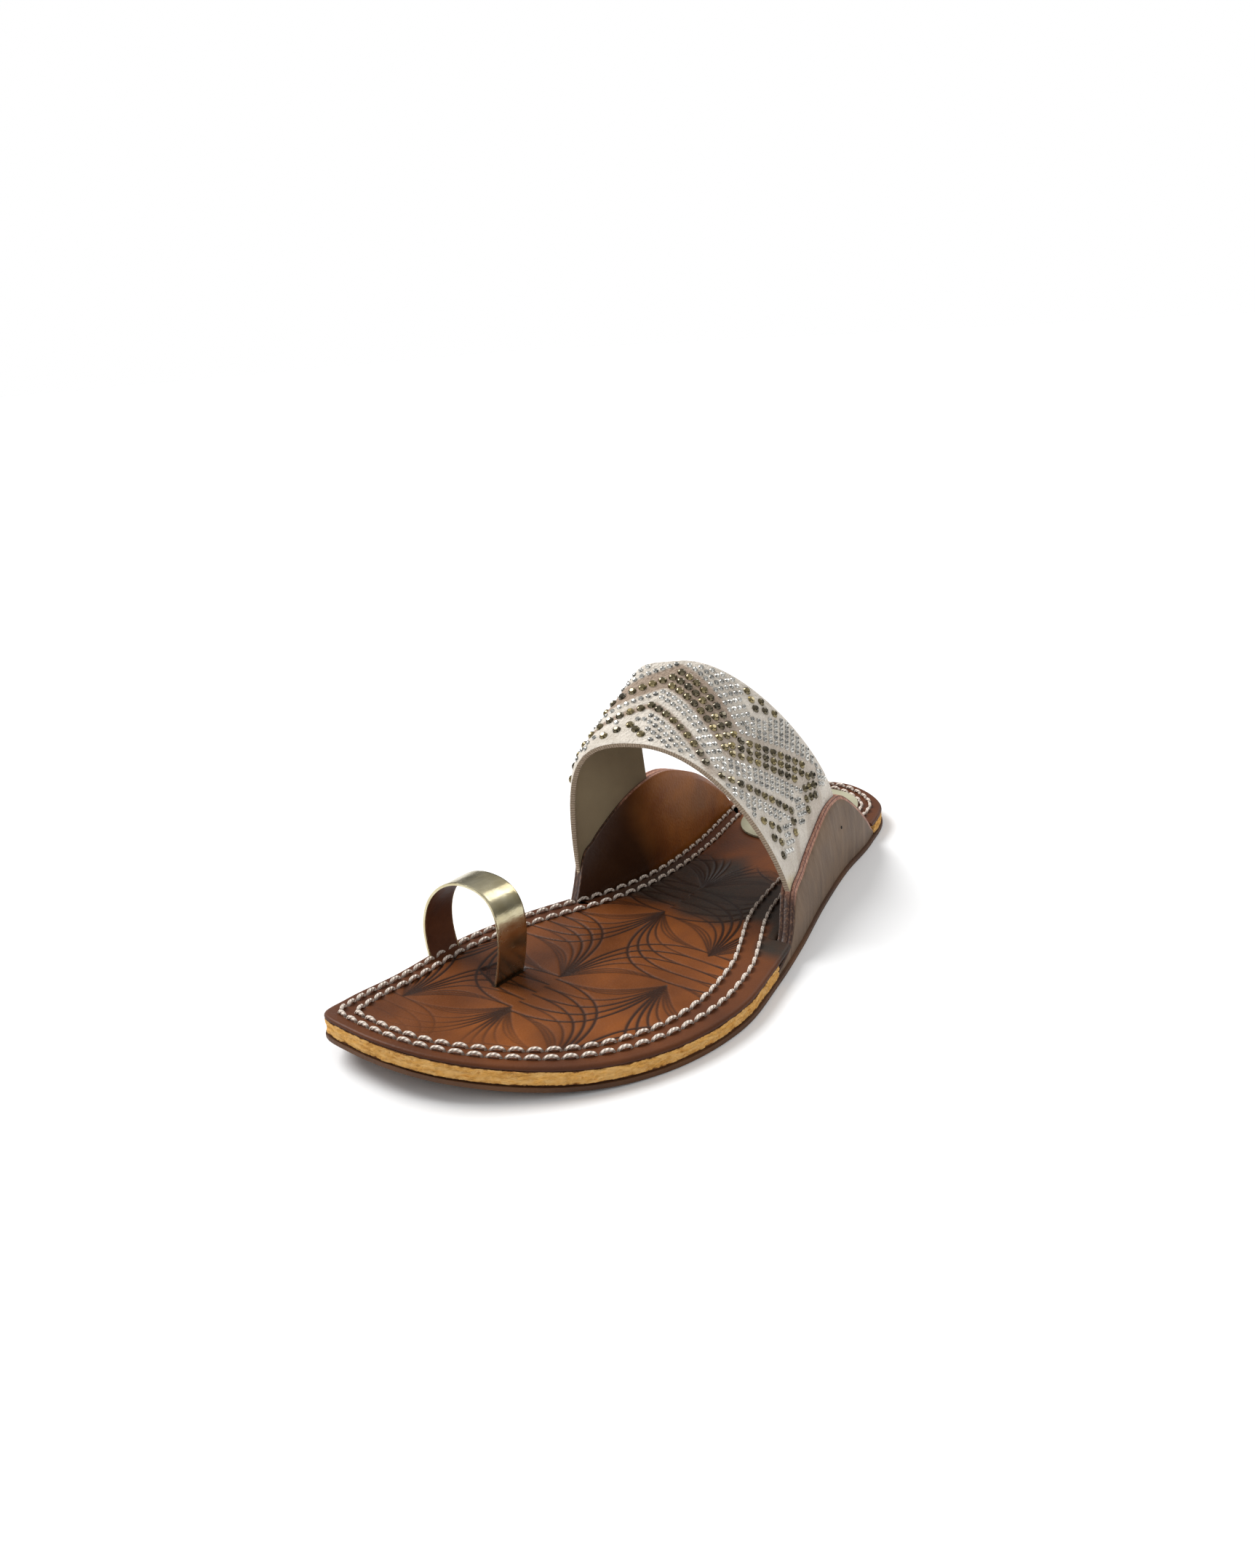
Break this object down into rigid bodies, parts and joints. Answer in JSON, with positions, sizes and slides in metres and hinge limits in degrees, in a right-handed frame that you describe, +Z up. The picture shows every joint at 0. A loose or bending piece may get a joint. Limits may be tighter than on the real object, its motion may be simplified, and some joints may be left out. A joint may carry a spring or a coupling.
{
  "type": "kolhapuri chappal",
  "caption": "Left flat leather sandal: layered foot-shaped sole, two folded side ears that hold a stone-set instep band, and a foil toe ring.",
  "frame": {"origin": "on the floor, under the middle of the sole's length and width", "axes": "+Z up, toe to -Y, heel to +Y, the little toe's side to +X"},
  "size_m": [0.1018, 0.248, 0.0824],
  "materials": {
    "outsole_leather": "smooth dark brown sole leather",
    "midsole_leather": "raw tan edge",
    "footbed_leather": "tooled, polished chestnut",
    "sock_lining": "matte pale lining",
    "ear_leather": "matte brown outside, glossy inside",
    "band_suede": "beige suede under small clear and gold stones",
    "ring_foil": "champagne gold foil"
  },
  "bodies": {
    "root": {"outsole": "outsole_leather", "midsole": "midsole_leather", "footbed": "footbed_leather", "heel_sock": "sock_lining", "ear_lateral": "ear_leather", "ear_medial": "ear_leather", "instep_band": "band_suede", "toe_ring": "ring_foil"}
  },
  "joints": []
}
